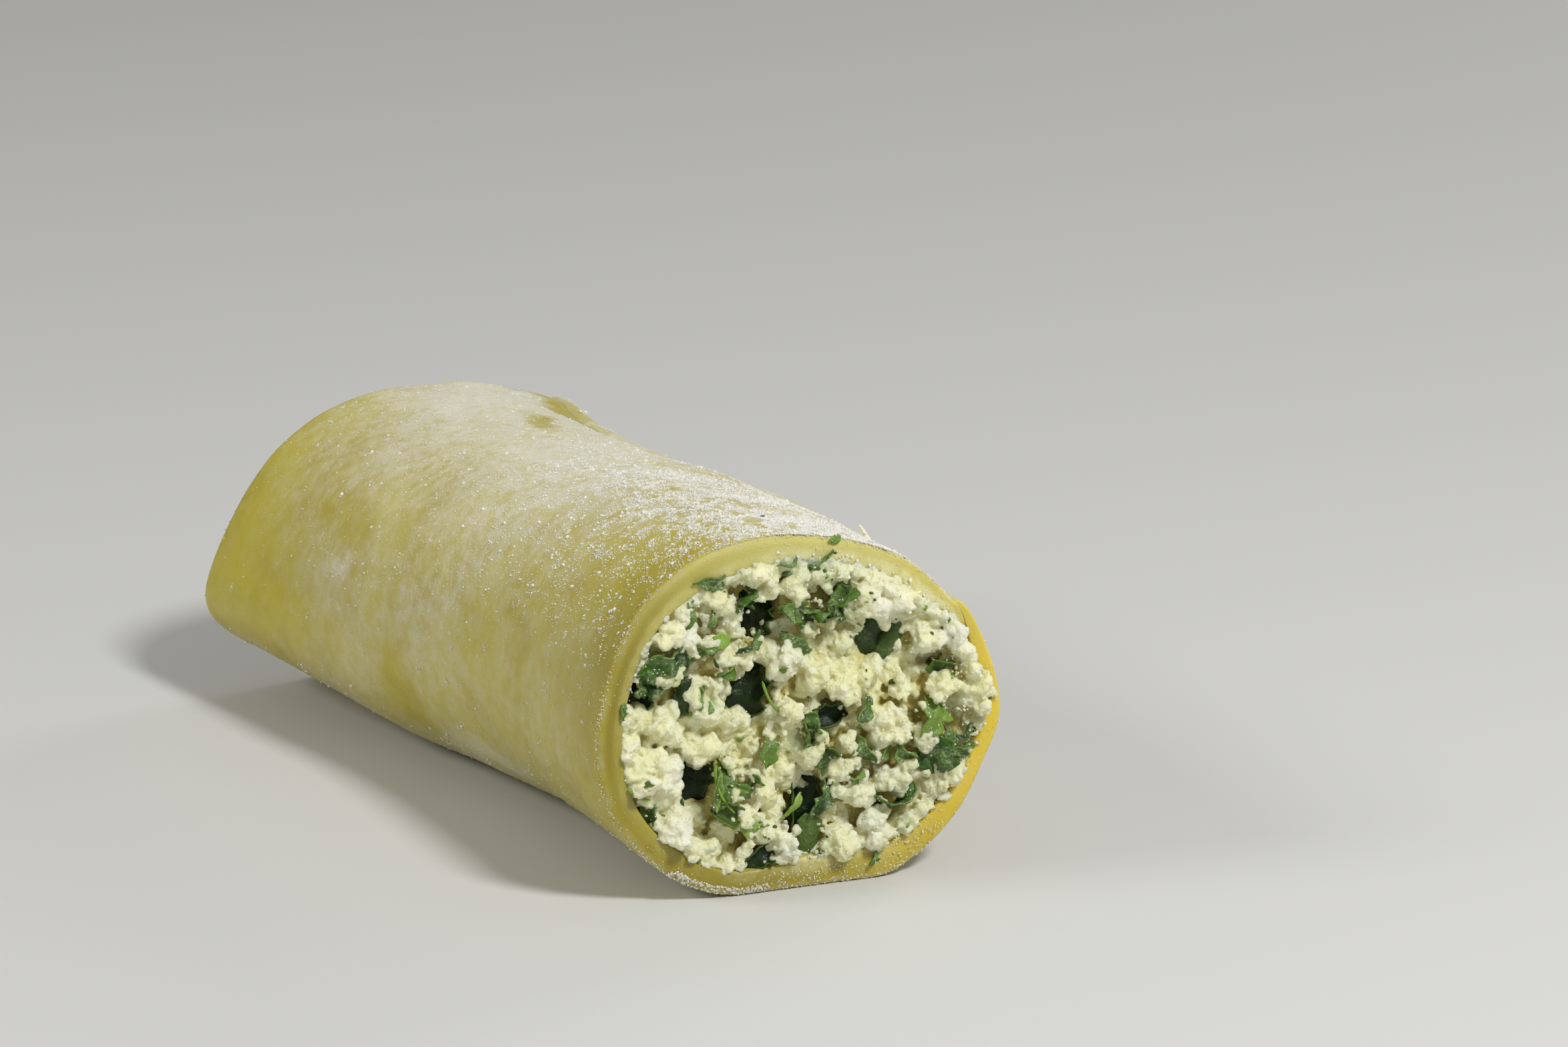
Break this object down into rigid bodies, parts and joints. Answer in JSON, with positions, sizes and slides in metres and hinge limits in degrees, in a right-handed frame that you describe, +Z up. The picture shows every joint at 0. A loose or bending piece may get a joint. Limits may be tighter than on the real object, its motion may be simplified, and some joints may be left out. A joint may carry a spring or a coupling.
{
  "type": "filled cannelloni roll",
  "caption": "Uncooked cannelloni: a sheet of fresh egg pasta rolled round crumbly ricotta and spinach, dusted with flour, filling showing at both open ends.",
  "frame": {"origin": "bottom centre of the roll's bounding box, on the surface it rests on", "axes": "+X along the roll towards the front cut, +Y across it, +Z up"},
  "size_m": [0.0708, 0.038, 0.0275],
  "materials": {
    "fresh_pasta": null,
    "ricotta_spinach": null
  },
  "bodies": {
    "root": {"pasta_sheet": "fresh_pasta", "filling": "ricotta_spinach"}
  },
  "joints": []
}
